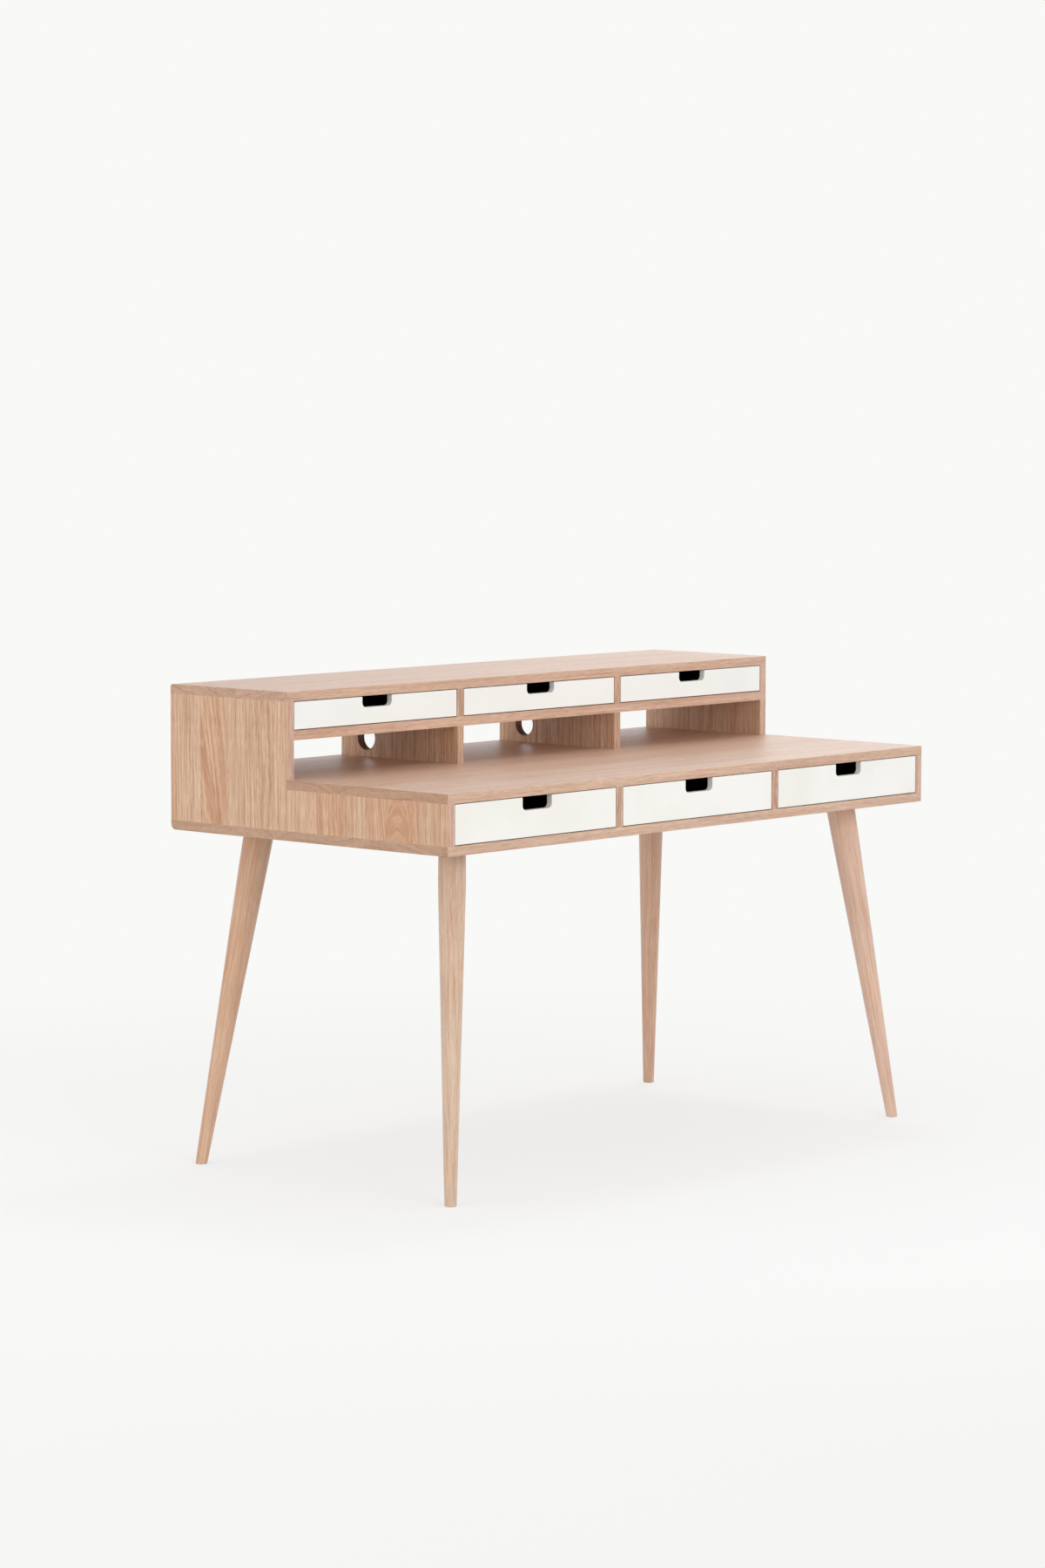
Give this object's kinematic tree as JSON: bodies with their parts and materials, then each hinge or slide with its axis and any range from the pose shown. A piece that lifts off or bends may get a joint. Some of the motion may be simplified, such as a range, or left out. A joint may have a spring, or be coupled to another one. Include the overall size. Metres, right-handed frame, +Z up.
{
  "type": "writing desk",
  "caption": "Solid wood writing desk with a raised gallery of open pigeonholes and small drawers over the desktop, notched inset drawers below and tapered splayed legs.",
  "frame": {"origin": "on the floor, under the middle of the desk's outline", "axes": "+X to the right along the desk's width, +Y to the rear, +Z up; a sitter is at -Y"},
  "size_m": [1.4, 0.708, 0.912],
  "materials": {
    "oak": "edge-glued oak staves, white-tinted matt oil",
    "white_lacquer": "satin off-white lacquer",
    "black_birch": "birch, black stain and matt lacquer",
    "black_ply": "birch plywood, black stain and matt lacquer",
    "beech": "waxed",
    "zinc_steel": "zinc plated",
    "brass_insert": "plain"
  },
  "bodies": {
    "carcass": {"bottom_panel": "oak", "case_back": "oak", "case_divider_left": "oak", "case_divider_right": "oak", "case_dowels": "beech", "desktop": "oak", "hutch_back": "oak", "hutch_divider_lower_left": "oak", "hutch_divider_lower_right": "oak", "hutch_divider_upper_left": "oak", "hutch_divider_upper_right": "oak", "hutch_dowels": "beech", "hutch_shelf": "oak", "hutch_top": "oak", "left_side": "oak", "leg_bolts": "zinc_steel", "leg_front_left": "oak", "leg_front_right": "oak", "leg_inserts": "brass_insert", "leg_rear_left": "oak", "leg_rear_right": "oak", "lower_runners": "beech", "right_side": "oak", "runner_screws": "zinc_steel", "upper_runners": "beech"},
    "lower_drawer_left": {"lower_drawer_left_back": "black_birch", "lower_drawer_left_bottom": "black_ply", "lower_drawer_left_front": "white_lacquer", "lower_drawer_left_wall_left": "black_birch", "lower_drawer_left_wall_right": "black_birch"},
    "lower_drawer_middle": {"lower_drawer_middle_back": "black_birch", "lower_drawer_middle_bottom": "black_ply", "lower_drawer_middle_front": "white_lacquer", "lower_drawer_middle_wall_left": "black_birch", "lower_drawer_middle_wall_right": "black_birch"},
    "lower_drawer_right": {"lower_drawer_right_back": "black_birch", "lower_drawer_right_bottom": "black_ply", "lower_drawer_right_front": "white_lacquer", "lower_drawer_right_wall_left": "black_birch", "lower_drawer_right_wall_right": "black_birch"},
    "upper_drawer_left": {"upper_drawer_left_back": "black_birch", "upper_drawer_left_bottom": "black_ply", "upper_drawer_left_front": "white_lacquer", "upper_drawer_left_wall_left": "black_birch", "upper_drawer_left_wall_right": "black_birch"},
    "upper_drawer_middle": {"upper_drawer_middle_back": "black_birch", "upper_drawer_middle_bottom": "black_ply", "upper_drawer_middle_front": "white_lacquer", "upper_drawer_middle_wall_left": "black_birch", "upper_drawer_middle_wall_right": "black_birch"},
    "upper_drawer_right": {"upper_drawer_right_back": "black_birch", "upper_drawer_right_bottom": "black_ply", "upper_drawer_right_front": "white_lacquer", "upper_drawer_right_wall_left": "black_birch", "upper_drawer_right_wall_right": "black_birch"}
  },
  "joints": [
    {"name": "lower_drawer_left_slide", "type": "slide", "parent": "carcass", "child": "lower_drawer_left", "axis": [0, -1, 0], "range_m": [0, 0.45]},
    {"name": "lower_drawer_middle_slide", "type": "slide", "parent": "carcass", "child": "lower_drawer_middle", "axis": [0, -1, 0], "range_m": [0, 0.45]},
    {"name": "lower_drawer_right_slide", "type": "slide", "parent": "carcass", "child": "lower_drawer_right", "axis": [0, -1, 0], "range_m": [0, 0.45]},
    {"name": "upper_drawer_left_slide", "type": "slide", "parent": "carcass", "child": "upper_drawer_left", "axis": [0, -1, 0], "range_m": [0, 0.16]},
    {"name": "upper_drawer_middle_slide", "type": "slide", "parent": "carcass", "child": "upper_drawer_middle", "axis": [0, -1, 0], "range_m": [0, 0.16]},
    {"name": "upper_drawer_right_slide", "type": "slide", "parent": "carcass", "child": "upper_drawer_right", "axis": [0, -1, 0], "range_m": [0, 0.16]}
  ]
}
